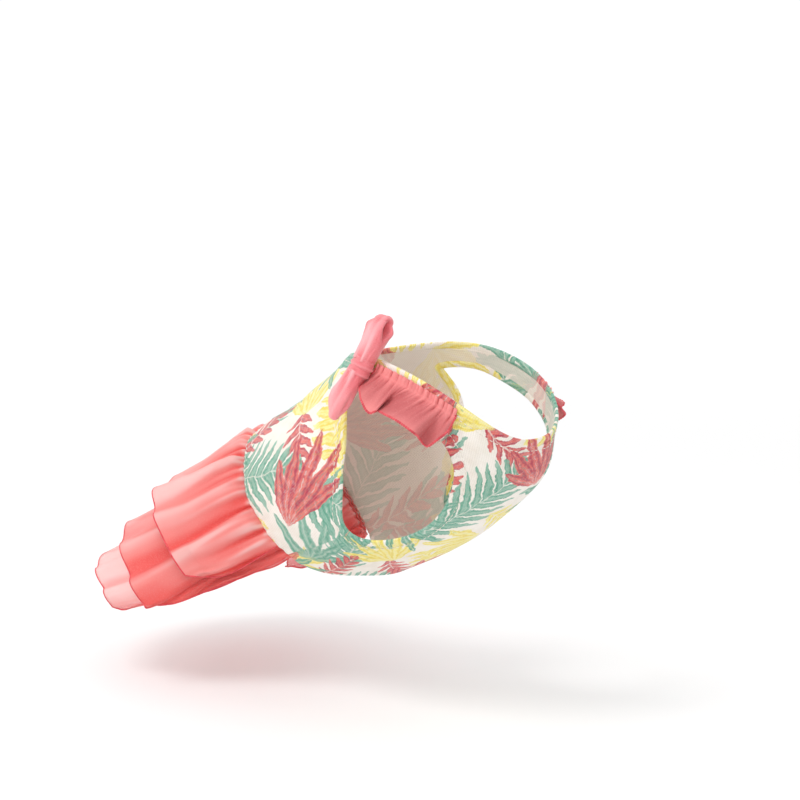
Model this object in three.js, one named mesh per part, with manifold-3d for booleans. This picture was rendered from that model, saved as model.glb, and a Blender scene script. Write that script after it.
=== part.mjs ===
// Pet dress as it stands when worn sitting: a printed knit bodice with two leg holes, a ruffle along each
// shoulder, a bow at the nape and three gathered chiffon tiers over the rump.
// Millimetres, +Z up, the neck opening towards -Y and the wearer's left side towards +X. The origin is the
// point of the back panel's inner face that rests on the withers, on the midline at the neckline.
import * as THREE from "three";
import Module from "manifold-3d";
import { mergeVertices } from "three/addons/utils/BufferGeometryUtils.js";

// Cloth
const KNIT_WALL = 1.5;
const CHIFFON_WALL = 1.0;
const RUFFLE_WALL = 1.2;
const BOW_WALL = 4.0;
const PIECE_GAP = 0.4;

// Midline points of the wearer's trunk inside the dress, one row for each station from the waist (along 0) to
// the neckline (along 1).
const MIDLINE_ROWS = [
  { along: 0.0, backY: 69, backZ: -45, bellyY: 17, bellyZ: -121 },
  { along: 0.3, backY: 48, backZ: -32, bellyY: -24, bellyZ: -106 },
  { along: 0.6, backY: 27, backZ: -19.5, bellyY: -72, bellyZ: -80 },
  { along: 0.85, backY: 10, backZ: -7.5, bellyY: -103, bellyZ: -50 },
  { along: 1.0, backY: 0, backZ: 0, bellyY: -110, bellyZ: -32 },
];

// The trunk's width there. saddle lifts the sides towards the head, sideShift moves the widest line towards
// the back, and bellySquare is the power of the rounded belly side.
const GIRTH_ROWS = [
  { along: 0.0, halfWidth: 33.5, saddle: 0, sideShift: 0, bellySquare: 2.0 },
  { along: 0.3, halfWidth: 40, saddle: 0, sideShift: 0, bellySquare: 2.2 },
  { along: 0.6, halfWidth: 43.5, saddle: 3, sideShift: -0.05, bellySquare: 2.5 },
  { along: 0.85, halfWidth: 43, saddle: 10, sideShift: -0.08, bellySquare: 2.6 },
  { along: 1.0, halfWidth: 39, saddle: 17, sideShift: -0.05, bellySquare: 2.4 },
];

// Edge of the leg hole, as stations along the trunk and degrees round it from the back's midline.
const LEG_HOLE_ROWS = [
  { along: 0.9, round: 52 },
  { along: 0.72, round: 76 },
  { along: 0.5, round: 98 },
  { along: 0.41, round: 118 },
  { along: 0.46, round: 138 },
  { along: 0.64, round: 148 },
  { along: 0.82, round: 139 },
  { along: 0.91, round: 124 },
  { along: 0.945, round: 90 },
  { along: 0.945, round: 62 },
];
const SIDE_SEAM = 120; // degrees round the trunk
const WAIST_RISE = 0.05; // how far along the trunk the hem lies at the side seam
const BELLY_HEM_RISE = 0.33; // and at the belly's midline
const NECK_SEAM = 0.985; // how far along the trunk the ruffles and the bow are sewn on
const LEG_HOLE_MIDDLE = { along: 0.68, round: 100 };
const BINDING_HALF_WIDTH = 1.9;
const BINDING_HALF_THICKNESS = 1.3;

// The skirt's lie over the rump, one row for each distance down the cloth from the waist.
// top is the midline, drop the height from it to the widest line, and sideShort and endShort are how much
// nearer the waist the cloth's side and front end lie. end is the front end in degrees round.
const SKIRT_ROWS = [
  { down: 0, topY: 69, topZ: -45, halfWidth: 33.5, drop: 46, sideShort: 0, endShort: 0, end: 119 },
  { down: 20, topY: 79.5, topZ: -52, halfWidth: 37.5, drop: 45, sideShort: 0, endShort: 0, end: 121.5 },
  { down: 50, topY: 99.5, topZ: -72, halfWidth: 44, drop: 39, sideShort: 1, endShort: 8.5, end: 122 },
  { down: 80, topY: 130.5, topZ: -96, halfWidth: 60, drop: 37.5, sideShort: 18.5, endShort: 8, end: 115 },
  { down: 118, topY: 173, topZ: -121.5, halfWidth: 69, drop: 32, sideShort: 31.5, endShort: 3, end: 111 },
];
const TAIL_WAY = new THREE.Vector2(0.839, -0.545); // along the spine towards the tail, in Y and Z
const BACK_WAY = new THREE.Vector2(0.545, 0.839); // across the spine towards the back

// The three tiers, outermost first. waistLift and hemLift are how far each stands off the skirt's lie at its
// ends, folds the share of the large folds it takes, and reach the share of the way round that it covers.
const TIERS = [
  { name: "skirt_tier_top", length: 65, waistLift: 0.75, hemLift: 11.5, folds: 1.0, reach: 0.94 },
  { name: "skirt_tier_middle", length: 91, waistLift: -0.75, hemLift: 4.0, folds: 0.85, reach: 0.98 },
  { name: "skirt_tier_bottom", length: 115, waistLift: -2.25, hemLift: -4.0, folds: 0.75, reach: 1.0 },
];

// The large folds shared by the tiers: degrees round at the waist and at the hem, height and half width.
const FOLD_ROWS = [
  { waist: -108, hem: -112, height: 3.5, spread: 8 },
  { waist: -92, hem: -93, height: 6.5, spread: 13 },
  { waist: -66, hem: -62, height: 5.0, spread: 10 },
  { waist: -46, hem: -38, height: 5.5, spread: 9 },
  { waist: -22, hem: -15, height: 2.8, spread: 10 },
  { waist: 4, hem: 6, height: 3.2, spread: 9 },
  { waist: 27, hem: 27, height: 5.0, spread: 8 },
  { waist: 50, hem: 49, height: 5.5, spread: 9 },
  { waist: 74, hem: 74, height: 5.0, spread: 11 },
  { waist: 98, hem: 101, height: 6.0, spread: 12 },
];
const SKIRT_START = 1.6; // distance down at which the cloth begins, clear of the hem's edge
const SEAM_FADE = 40; // distance down over which the skirt leaves the hem's line for its own lie
const FOLD_START = 10; // distance down over which the folds swell out of the gathers
const FOLD_AT_WAIST = 0.35; // share of a fold's height that it has at the waist
const FOLD_GROWTH = 1.6; // and how soon down the skirt it has all of it
const LIFT_POWER = 1.3; // how late down a tier it leaves the skirt's lie

// Shoulder ruffles: degrees round from their back end to their front end, and their lean off the cloth.
const RUFFLE_WIDTH = 18;
const RUFFLE_START = 79;
const RUFFLE_END = 124;
const RUFFLE_LEAN = 30;
const RUFFLE_END_WIDTH = 0.7; // share of the width that is left at the two ends
const RUFFLE_TAPER = 6; // the taper takes one in this many parts of the length, at each end
const RUFFLE_CLEARANCE = 0.3; // above the gap to the cloth, for the cloth's curve under it

// Their waves: place as a share of the length, height off the ruffle's lie and half width as a share.
const WAVE_ROWS = [
  { place: 0.1, height: 3.4, spread: 0.11 },
  { place: 0.29, height: -5.5, spread: 0.06 },
  { place: 0.47, height: 5.4, spread: 0.1 },
  { place: 0.67, height: -3.6, spread: 0.07 },
  { place: 0.82, height: 5.6, spread: 0.07 },
  { place: 0.96, height: -3.0, spread: 0.05 },
];

// Bow, on the neckline to the right of the nape. bend and tip are measured from the knot.
const BOW_SEAT = { along: NECK_SEAM, round: -71, lift: 7.6 };
const KNOT_HALF = new THREE.Vector3(4.8, 6.8, 5.2);
const BOW_WIDTH_WAY = new THREE.Vector3(0.356, 0.87, 0.2225);
const LOOP_ROWS = [
  { name: "bow_loop_right", bend: [-7.5, 5, -12], tip: [-10, 9.5, -23.5], width: 15, halfDepth: 2.9 },
  { name: "bow_loop_left", bend: [3, -6, 15], tip: [8, -8, 25], width: 17, halfDepth: 3.3 },
];
const LOOP_ROOT = 4.9; // distance of a loop's root from the knot's middle
const ROOT_WIDTH = 9;
const LOOP_WIDENING = 1.5; // how soon out from the knot a loop has its width
const ROOT_DEPTH = 0.22; // phase at which a loop's depth starts from the knot
const LOOP_FULLNESS = 0.7; // power of the depth's curve: lower is fuller

// Mesh steps of each surface, along or round it and then across it.
const STEPS = {
  backPanel: [30, 8],
  chestPanel: [18, 8],
  legHole: [36, 6],
  neckline: [40, 6],
  ruffle: [32, 4],
  tier: [60, 7],
  bowLoop: [28, 8],
  bowKnot: [14, 10],
};

const COLOURS = {
  print: { color: 0xe6e2d6, roughness: 0.85 },
  chiffon: { color: 0xf58080, roughness: 0.7 },
  ruffle: { color: 0xdc7f85, roughness: 0.6 },
  bow: { color: 0xe8707e, roughness: 0.9 },
};

const radians = THREE.MathUtils.degToRad;
const smooth = (x) => THREE.MathUtils.smoothstep(x, 0, 1);

// Value of one column at x, by a cubic through the rows that takes the parabola's slope at each row.
function column(rows, at, name, x) {
  const last = rows.length - 1;
  let i = 0;
  while (i < last - 1 && x > rows[i + 1][at]) i++;
  const rise = (k) => (rows[k + 1][name] - rows[k][name]) / (rows[k + 1][at] - rows[k][at]);
  const slope = (k) => {
    if (k === 0) return rise(0);
    if (k === last) return rise(last - 1);
    const before = rows[k][at] - rows[k - 1][at];
    const after = rows[k + 1][at] - rows[k][at];
    return (rise(k - 1) * after + rise(k) * before) / (before + after);
  };
  const h = rows[i + 1][at] - rows[i][at];
  const s = (x - rows[i][at]) / h;
  return (
    rows[i][name] * (1 + 2 * s) * (1 - s) ** 2 +
    slope(i) * h * s * (1 - s) ** 2 +
    rows[i + 1][name] * s * s * (3 - 2 * s) +
    slope(i + 1) * h * s * s * (s - 1)
  );
}

// Point of the trunk at a station and an angle round it (0 the back's midline, positive to the left side).
function trunk(along, round) {
  const mid = (name) => column(MIDLINE_ROWS, "along", name, along);
  const at = (name) => column(GIRTH_ROWS, "along", name, along);
  const back = new THREE.Vector2(mid("backY"), mid("backZ"));
  const belly = new THREE.Vector2(mid("bellyY"), mid("bellyZ"));
  const half = back.clone().sub(belly).multiplyScalar(0.5);
  const headWay = new THREE.Vector2(-half.y, half.x).normalize();
  const c = Math.cos(round);
  const s = Math.sin(round);
  const power = 2 / (2 + (at("bellySquare") - 2) * 0.5 * (1 - c));
  const across = Math.sign(c) * Math.abs(c) ** power + at("sideShift") * s * s;
  const side = back.add(belly).multiplyScalar(0.5);
  side.addScaledVector(half, across).addScaledVector(headWay, at("saddle") * s * s);
  return new THREE.Vector3(at("halfWidth") * Math.sign(s) * Math.abs(s) ** power, side.x, side.y);
}

// Unit vectors of a surface at (u, v): along u, along v, and outwards.
function frameOf(surface, u, v, du, dv) {
  const alongU = surface(u + du, v).sub(surface(u - du, v)).normalize();
  const alongV = surface(u, v + dv).sub(surface(u, v - dv)).normalize();
  return { alongU, alongV, out: alongU.clone().cross(alongV).normalize() };
}

// Unit vectors on the trunk: alongU towards the head, alongV round to the left side, and out.
const trunkFrame = (along, round) => frameOf(trunk, along, round, 0.004, 0.01);

// Lie of the skirt at a distance down the cloth and an angle round.
function freeLie(down, round) {
  const at = (name) => column(SKIRT_ROWS, "down", name, down);
  const c = Math.cos(round);
  const s = Math.sin(round);
  const short = at("sideShort") * s * s + at("endShort") * Math.abs(round / radians(at("end"))) ** 6;
  const side = new THREE.Vector2(at("topY"), at("topZ"));
  side.addScaledVector(BACK_WAY, at("drop") * (c - 1)).addScaledVector(TAIL_WAY, -short);
  return new THREE.Vector3(at("halfWidth") * s, side.x, side.y);
}

// The same, brought to the bodice's hem where the skirt is sewn on.
function skirtLie(down, round) {
  const step = trunk(waistHem(round), round).sub(freeLie(0, round));
  return freeLie(down, round).addScaledVector(step, 1 - smooth(down / SEAM_FADE));
}

// How far along the trunk the bodice's hem lies at an angle round: level on the back, higher at the sides.
function waistHem(round) {
  return WAIST_RISE * Math.min(1, Math.abs(round / radians(SIDE_SEAM))) ** 5;
}

// Height of the large folds over the skirt's lie.
function foldHeight(down, round) {
  const share = down / TIERS[2].length;
  const sum = FOLD_ROWS.reduce((total, row) => {
    const middle = THREE.MathUtils.lerp(row.waist, row.hem, share);
    const off = (THREE.MathUtils.radToDeg(round) - middle) / row.spread;
    return total + row.height * Math.exp(-off * off);
  }, 0);
  const grown = THREE.MathUtils.lerp(FOLD_AT_WAIST, 1, smooth(share * FOLD_GROWTH));
  return sum * smooth(down / FOLD_START) * grown;
}

// Closed solid between two offsets of a surface over a grid of u and v. outer and inner give points.
function wallOf(outer, inner, countU, countV) {
  const vertices = [];
  const triangles = [];
  const across = countU + 1;
  for (const face of [outer, inner]) {
    for (let j = 0; j <= countV; j++) {
      for (let i = 0; i <= countU; i++) vertices.push(...face(i / countU, j / countV).toArray());
    }
  }
  const layer = across * (countV + 1);
  const quad = (a, b, c, d) => triangles.push(a, b, c, a, c, d);
  const index = (i, j) => j * across + i;
  for (let j = 0; j < countV; j++) {
    for (let i = 0; i < countU; i++) {
      const corners = [index(i, j), index(i + 1, j), index(i + 1, j + 1), index(i, j + 1)];
      quad(...corners);
      quad(...corners.map((k) => k + layer).reverse());
    }
  }
  const rim = (a, b) => quad(b, a, a + layer, b + layer);
  for (let i = 0; i < countU; i++) {
    rim(index(i, 0), index(i + 1, 0));
    rim(index(i + 1, countV), index(i, countV));
  }
  for (let j = 0; j < countV; j++) {
    rim(index(0, j + 1), index(0, j));
    rim(index(countU, j), index(countU, j + 1));
  }
  return indexed(vertices, triangles);
}

// Closed solid along a path. place gives the section's centre, and its across and up half axes.
function sweep(place, steps, sides, closed) {
  const vertices = [];
  const triangles = [];
  const rings = closed ? steps : steps + 1;
  for (let k = 0; k < rings; k++) {
    const { centre, across, up } = place(k / steps);
    for (let n = 0; n < sides; n++) {
      const angle = (2 * Math.PI * n) / sides;
      const point = centre.clone().addScaledVector(across, Math.cos(angle));
      vertices.push(...point.addScaledVector(up, Math.sin(angle)).toArray());
    }
  }
  const spans = closed ? rings : rings - 1;
  for (let k = 0; k < spans; k++) {
    for (let n = 0; n < sides; n++) {
      const [a, b] = [k * sides + n, k * sides + ((n + 1) % sides)];
      const [c, d] = [((k + 1) % rings) * sides + ((n + 1) % sides), ((k + 1) % rings) * sides + n];
      triangles.push(a, b, c, a, c, d);
    }
  }
  if (!closed) {
    for (let n = 1; n < sides - 1; n++) {
      const end = (rings - 1) * sides;
      triangles.push(0, n + 1, n, end, end + n, end + n + 1);
    }
  }
  return indexed(vertices, triangles);
}

function indexed(vertices, triangles) {
  const geometry = new THREE.BufferGeometry();
  geometry.setAttribute("position", new THREE.Float32BufferAttribute(vertices, 3));
  geometry.setIndex(triangles);
  return geometry;
}

const manifold = await Module();
manifold.setup();

function solidOf(geometry) {
  const bare = new THREE.BufferGeometry();
  bare.setAttribute("position", geometry.getAttribute("position"));
  if (geometry.index) bare.setIndex(geometry.index);
  const merged = mergeVertices(bare, 1e-4);
  const mesh = new manifold.Mesh({
    numProp: 3,
    vertProperties: new Float32Array(merged.attributes.position.array),
    triVerts: new Uint32Array(merged.index.array),
  });
  const solid = new manifold.Manifold(mesh);
  if (solid.volume() > 0) return solid;
  mesh.triVerts = mesh.triVerts.slice().reverse();
  return new manifold.Manifold(mesh);
}

function geometryOf(solid) {
  const { vertProperties, triVerts } = solid.getMesh();
  return indexed(Array.from(vertProperties), Array.from(triVerts));
}

// Points of the leg hole's edge, as { along, round } with round in radians, by a closed smooth curve.
function legHoleEdge(count) {
  const points = LEG_HOLE_ROWS.map((row) => new THREE.Vector3(row.along * 100, row.round, 0));
  const curve = new THREE.CatmullRomCurve3(points, true, "centripetal");
  return curve.getSpacedPoints(count).slice(0, count).map((p) => ({ along: p.x / 100, round: radians(p.y) }));
}

// Solid that cuts one leg hole square through the cloth. side is -1 for the right.
function legHoleCutter(side) {
  const edge = legHoleEdge(STEPS.legHole[0]);
  const middle = { along: LEG_HOLE_MIDDLE.along, round: radians(LEG_HOLE_MIDDLE.round) };
  const rings = 5;
  const vertices = [];
  const triangles = [];
  for (const lift of [KNIT_WALL + 3, -3]) {
    for (let ring = 0; ring < rings; ring++) {
      for (const point of edge) {
        const along = THREE.MathUtils.lerp(point.along, middle.along, ring / rings);
        const round = side * THREE.MathUtils.lerp(point.round, middle.round, ring / rings);
        vertices.push(...lifted(along, round, lift).toArray());
      }
    }
    vertices.push(...lifted(middle.along, side * middle.round, lift).toArray());
  }
  const layer = edge.length * rings + 1;
  for (let n = 0; n < edge.length; n++) {
    const m = (n + 1) % edge.length;
    for (let ring = 0; ring < rings - 1; ring++) {
      const corners = [ring, ring, ring + 1, ring + 1];
      const [a, b, c, d] = corners.map((r, k) => r * edge.length + (k % 3 ? m : n));
      triangles.push(a, b, c, a, c, d, a + layer, c + layer, b + layer, a + layer, d + layer, c + layer);
    }
    const [a, b, tip] = [(rings - 1) * edge.length + n, (rings - 1) * edge.length + m, layer - 1];
    triangles.push(a, b, tip, a + layer, tip + layer, b + layer);
    triangles.push(m, n, n + layer, m, n + layer, m + layer);
  }
  return solidOf(indexed(vertices, triangles));
}

// Point at a height over the trunk.
function lifted(along, round, lift) {
  return trunk(along, round).addScaledVector(trunkFrame(along, round).out, lift);
}

// One bodice panel over a range of angles, from its hem to the neckline, with the leg holes cut out.
function bodicePanel(from, to, hemAt, countRound, countAlong) {
  const face = (lift) => (u, v) => {
    const round = radians(THREE.MathUtils.lerp(from, to, u));
    const along = THREE.MathUtils.lerp(hemAt(round), 1, v);
    return lifted(along, round, lift);
  };
  const shell = solidOf(wallOf(face(KNIT_WALL), face(0), countRound, countAlong));
  return geometryOf(shell.subtract(legHoleCutter(-1)).subtract(legHoleCutter(1)));
}

function bellyHem(round) {
  const share = (THREE.MathUtils.radToDeg(round) - SIDE_SEAM) / (180 - SIDE_SEAM);
  return THREE.MathUtils.lerp(WAIST_RISE, BELLY_HEM_RISE, smooth(share > 1 ? 2 - share : share));
}

const backPanel = () => bodicePanel(-SIDE_SEAM, SIDE_SEAM, waistHem, ...STEPS.backPanel);

function chestPanel() {
  const widest = Math.max(...GIRTH_ROWS.map((row) => row.halfWidth));
  const gap = THREE.MathUtils.radToDeg(PIECE_GAP / widest);
  return bodicePanel(SIDE_SEAM + gap, 360 - SIDE_SEAM - gap, bellyHem, ...STEPS.chestPanel);
}

// Binding that edges one leg hole, lying inside the hole's cut edge.
function legBinding(side) {
  const edge = legHoleEdge(STEPS.legHole[0]);
  const point = (e) => trunk(e.along, side * e.round);
  return sweep(
    (share) => {
      const k = Math.round(share * edge.length) % edge.length;
      const { out } = trunkFrame(edge[k].along, side * edge[k].round);
      const way = point(edge[(k + 1) % edge.length]).sub(point(edge[(k + edge.length - 1) % edge.length]));
      const inwards = out.clone().cross(way.normalize()).normalize().multiplyScalar(-side);
      const centre = lifted(edge[k].along, side * edge[k].round, KNIT_WALL / 2);
      centre.addScaledVector(inwards, BINDING_HALF_WIDTH + PIECE_GAP);
      return {
        centre,
        across: inwards.multiplyScalar(BINDING_HALF_WIDTH),
        up: out.multiplyScalar(BINDING_HALF_THICKNESS),
      };
    },
    ...STEPS.legHole,
    true,
  );
}

// Binding along the neckline.
function neckBinding() {
  return sweep(
    (share) => {
      const { out, alongU } = trunkFrame(1, 2 * Math.PI * share);
      const centre = lifted(1, 2 * Math.PI * share, KNIT_WALL / 2);
      centre.addScaledVector(alongU, BINDING_HALF_WIDTH + PIECE_GAP);
      return {
        centre,
        across: alongU.multiplyScalar(BINDING_HALF_WIDTH),
        up: out.multiplyScalar(BINDING_HALF_THICKNESS),
      };
    },
    ...STEPS.neckline,
    true,
  );
}

// One shoulder ruffle, gathered along the neckline and waving towards its outer edge.
function shoulderRuffle(side) {
  const lean = radians(RUFFLE_LEAN);
  const middle = (u, v) => {
    const round = side * radians(THREE.MathUtils.lerp(RUFFLE_START, RUFFLE_END, u));
    const { out, alongU } = trunkFrame(NECK_SEAM, round);
    const way = alongU.clone().multiplyScalar(-Math.cos(lean)).addScaledVector(out, Math.sin(lean));
    const rise = out.clone().multiplyScalar(Math.cos(lean)).addScaledVector(alongU, Math.sin(lean));
    const wave = WAVE_ROWS.reduce((sum, row) => {
      const off = (u - row.place) / row.spread;
      return sum + row.height * Math.exp(-off * off);
    }, 0);
    const taper = smooth(RUFFLE_TAPER * Math.min(u, 1 - u));
    const width = RUFFLE_WIDTH * THREE.MathUtils.lerp(RUFFLE_END_WIDTH, 1, taper);
    const seat = lifted(NECK_SEAM, round, KNIT_WALL + PIECE_GAP + RUFFLE_WALL / 2 + RUFFLE_CLEARANCE);
    return seat.addScaledVector(way, width * v).addScaledVector(rise, v * wave);
  };
  const face = (lift) => (u, v) =>
    middle(u, v).addScaledVector(frameOf(middle, u, v, 0.004, 0.02).out, lift);
  return wallOf(face(RUFFLE_WALL / 2), face(-RUFFLE_WALL / 2), ...STEPS.ruffle);
}

// One gathered tier of the skirt.
function skirtTier(tier) {
  const middle = (u, v) => {
    const down = THREE.MathUtils.lerp(SKIRT_START, tier.length, v);
    const end = tier.reach * radians(column(SKIRT_ROWS, "down", "end", down));
    const round = THREE.MathUtils.lerp(-end, end, u);
    const { out } = frameOf((r, d) => skirtLie(d, r), round, down, 0.01, 0.2);
    const lift = THREE.MathUtils.lerp(tier.waistLift, tier.hemLift, (down / tier.length) ** LIFT_POWER);
    return skirtLie(down, round).addScaledVector(out, lift + tier.folds * foldHeight(down, round));
  };
  const face = (lift) => (u, v) =>
    middle(u, v).addScaledVector(frameOf(middle, u, v, 0.002, 0.005).out, lift);
  return wallOf(face(CHIFFON_WALL / 2), face(-CHIFFON_WALL / 2), ...STEPS.tier);
}

function bowCentre() {
  return lifted(BOW_SEAT.along, radians(BOW_SEAT.round), BOW_SEAT.lift);
}

// One loop of the bow: a soft padded band out from the knot, round its tip and back.
function bowLoop(row) {
  const knot = bowCentre();
  const tip = knot.clone().add(new THREE.Vector3(...row.tip));
  const bend = knot.clone().add(new THREE.Vector3(...row.bend));
  const root = knot.clone().addScaledVector(bend.clone().sub(knot).normalize(), LOOP_ROOT);
  const spine = new THREE.QuadraticBezierCurve3(root, bend, tip);
  const place = (share) => {
    const out = 1 - Math.abs(2 * share - 1);
    const reach = Math.sin((out * Math.PI) / 2);
    const way = spine.getTangent(Math.min(0.999, reach));
    const rise = BOW_WIDTH_WAY.clone().cross(way).normalize();
    const phase = THREE.MathUtils.lerp(ROOT_DEPTH, 1, reach);
    const depth = row.halfDepth * Math.max(0, Math.sin(Math.PI * phase)) ** LOOP_FULLNESS;
    const sign = share < 0.5 ? 1 : -1;
    return spine.getPoint(reach).addScaledVector(rise, sign * (out > 0.999 ? 0 : depth));
  };
  return sweep(
    (share) => {
      const before = place(Math.max(0, share - 0.004));
      const way = place(Math.min(1, share + 0.004)).sub(before).normalize();
      const across = BOW_WIDTH_WAY.clone().addScaledVector(way, -BOW_WIDTH_WAY.dot(way)).normalize();
      const reach = Math.sin(((1 - Math.abs(2 * share - 1)) * Math.PI) / 2);
      const width = THREE.MathUtils.lerp(ROOT_WIDTH, row.width, smooth(reach * LOOP_WIDENING));
      return {
        centre: place(share),
        across: across.clone().multiplyScalar(width / 2),
        up: way.clone().cross(across).multiplyScalar(BOW_WALL / 2),
      };
    },
    ...STEPS.bowLoop,
    false,
  );
}

function bowKnot() {
  const knot = new THREE.SphereGeometry(1, ...STEPS.bowKnot);
  const [right, left] = LOOP_ROWS.map((row) => new THREE.Vector3(...row.bend));
  const bowWay = left.sub(right).normalize();
  const across = BOW_WIDTH_WAY.clone().addScaledVector(bowWay, -BOW_WIDTH_WAY.dot(bowWay)).normalize();
  const basis = new THREE.Matrix4().makeBasis(bowWay, across, bowWay.clone().cross(across));
  knot.scale(KNOT_HALF.x, KNOT_HALF.y, KNOT_HALF.z).applyMatrix4(basis);
  knot.translate(...bowCentre().toArray());
  return geometryOf(solidOf(knot));
}

const dress = new THREE.Group();

function add(name, geometry, finish) {
  const material = new THREE.MeshStandardMaterial({ ...finish, metalness: 0 });
  const mesh = new THREE.Mesh(geometryOf(solidOf(geometry)), material);
  mesh.name = name;
  dress.add(mesh);
}

add("back_panel", backPanel(), COLOURS.print);
add("chest_panel", chestPanel(), COLOURS.print);
add("leg_binding_right", legBinding(-1), COLOURS.print);
add("leg_binding_left", legBinding(1), COLOURS.print);
add("neck_binding", neckBinding(), COLOURS.print);
add("shoulder_ruffle_right", shoulderRuffle(-1), COLOURS.ruffle);
add("shoulder_ruffle_left", shoulderRuffle(1), COLOURS.ruffle);
for (const tier of TIERS) add(tier.name, skirtTier(tier), COLOURS.chiffon);
for (const row of LOOP_ROWS) add(row.name, bowLoop(row), COLOURS.bow);
add("bow_knot", bowKnot(), COLOURS.bow);

export default dress;
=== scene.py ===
# Looks of a small pet dress as it stands when worn: printed knit bodice, ruffles, bow and chiffon tiers.
# Lengths are millimetres until a mesh is made, in metres. A place on the trunk is its share of the way from
# the waist to the neckline, named along, and its turn from the middle of the back, positive on the left side.
# Turns are degrees in the tables and radians in the functions.
import math

import bpy
import numpy as np
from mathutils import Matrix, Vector


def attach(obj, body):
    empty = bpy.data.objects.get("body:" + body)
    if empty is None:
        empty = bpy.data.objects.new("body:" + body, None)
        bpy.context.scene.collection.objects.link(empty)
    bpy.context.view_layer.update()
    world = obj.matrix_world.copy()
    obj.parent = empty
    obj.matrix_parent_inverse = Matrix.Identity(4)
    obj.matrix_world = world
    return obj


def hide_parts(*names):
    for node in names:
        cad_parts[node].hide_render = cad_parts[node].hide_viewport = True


MM = 0.001
CLOTH_UNIT = 100.0  # millimetres to one unit of a cloth's own coordinates
PANEL_WALL, CHIFFON_WALL, JERSEY_WALL = 1.4, 0.55, 0.7
PANEL_LIFT = 0.75
PANEL_END = 1.003
SIDE_SEAM = 120
SEAM_RISE, BELLY_RISE = 0.05, 0.33
NECK_SEAM = 0.985
STITCH_LIFT = 1.55
BINDING_LIFT = 0.8
BINDING_HALF_THICKNESS = 0.95
SKIRT_LENGTH = 115

# The trunk from the waist (0) to the neckline (1): the middle of its back and of its belly, its half width,
# how far its sides lie towards the head and towards the belly, and how square its section is at the belly.
MIDLINE = {
    "along": [0.0, 0.3, 0.6, 0.85, 1.0],
    "backY": [69, 48, 27, 10, 0],
    "backZ": [-45, -32, -19.5, -7.5, 0],
    "bellyY": [17, -24, -72, -103, -110],
    "bellyZ": [-121, -106, -80, -50, -32],
    "halfWidth": [33.5, 40, 43.5, 43, 39],
    "saddle": [0, 0, 3, 10, 17],
    "sideShift": [0, 0, -0.05, -0.08, -0.05],
    "bellySquare": [2.0, 2.2, 2.5, 2.6, 2.4],
}
# Corners of the leg hole's curve: place along the trunk and turn.
LEG_HOLE = [
    (0.9, 52), (0.72, 76), (0.5, 98), (0.41, 118), (0.46, 138),
    (0.64, 148), (0.82, 139), (0.91, 124), (0.945, 90), (0.945, 62),
]
# The skirt by the distance down from the waist seam: the middle of its back, its half width, how much lower
# its sides lie, how much shorter its sides and its front ends are, and the turn at which it ends.
SKIRT = {
    "down": [0, 20, 50, 80, 118],
    "topY": [69, 79.5, 99.5, 130.5, 173],
    "topZ": [-45, -52, -72, -96, -121.5],
    "halfWidth": [33.5, 37.5, 44, 60, 69],
    "drop": [46, 45, 39, 37.5, 32],
    "sideShort": [0, 0, 1, 18.5, 31.5],
    "endShort": [0, 0, 8.5, 8, 3],
    "end": [119, 121.5, 122, 115, 111],
}
TAIL_WAY = np.array([0.839, -0.545])
BACK_WAY = np.array([0.545, 0.839])
# Folds that run down the skirt: turn at the waist and at the hem, height, and spread in degrees.
FOLDS = [
    (-108, -112, 3.5, 8), (-92, -93, 6.5, 13), (-66, -62, 5, 10), (-46, -38, 5.5, 9),
    (-22, -15, 2.8, 10), (4, 6, 3.2, 9), (27, 27, 5, 8), (50, 49, 5.5, 9), (74, 74, 5, 11), (98, 101, 6, 12),
]
# Creases between the folds: turn at the waist and at the hem, depth, spread, and share left at the hem.
CREASES = [
    (-116, -115, 2.4, 2.5, 1.0), (-103, -104, 1.0, 3.0, 0.4), (-81, -86, 4.2, 4.5, 1.0),
    (-62, -58, 3.0, 4.0, 0.35), (-43, -30, 3.0, 4.5, 0.15), (-9, -5, 1.4, 5.0, 0.2), (15, 17, 1.6, 4.5, 0.2),
    (39, 37, 2.0, 4.5, 0.7), (62, 62, 2.2, 4.5, 0.9), (86, 88, 2.6, 5.0, 1.0), (112, 114, 1.8, 4.0, 1.0),
]
CREASE_GRADUAL, CREASE_STEEP = 2.0, 0.62
# The tiers: length, lift at the waist and at the hem, height and breadth of the folds, depth of the creases,
# puff under the seam, share of the skirt's turn, seed, painted light added over the whole tier (negative for
# painted shade), painted shade towards the front ends, and opacity.
TIER_COLUMNS = "word length waist hem folds broad crease puff reach seed light end_shade cover".split()
TIER_ROWS = [
    ("top", 65, 0.75, 11.5, 1.0, 1.0, 1.0, 2.6, 0.94, 1, 0.0, 0.0, 0.74),
    ("middle", 91, -0.75, 4.6, 0.62, 1.4, 0.7, 0.0, 1.02, 2, -0.42, 0.4, 0.68),
    ("bottom", 115, -2.25, -3.2, 0.5, 1.55, 0.45, 0.0, 1.04, 3, 0.1, 0.4, 0.56),
]
TIERS = [dict(zip(TIER_COLUMNS, row)) for row in TIER_ROWS]
# Small waves of the skirt's cloth: height, and how fast they follow each other round the skirt and down it.
FINE_GATHERS = [(0.6, 44, 0.02), (0.55, 61, -0.03), (0.35, 83, 0.04)]
WIDE_GATHERS = [(1.2, 23, 0.01), (0.9, 31, -0.015)]
OWN_FOLDS = [(0.5, 8.3, 0.012), (0.35, 12.6, -0.02), (0.1, 21, 0.02)]
CRUMPLES = [(0.9, 46, 0.03), (0.7, 71, -0.06), (0.5, 30, 0.12)]
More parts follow.
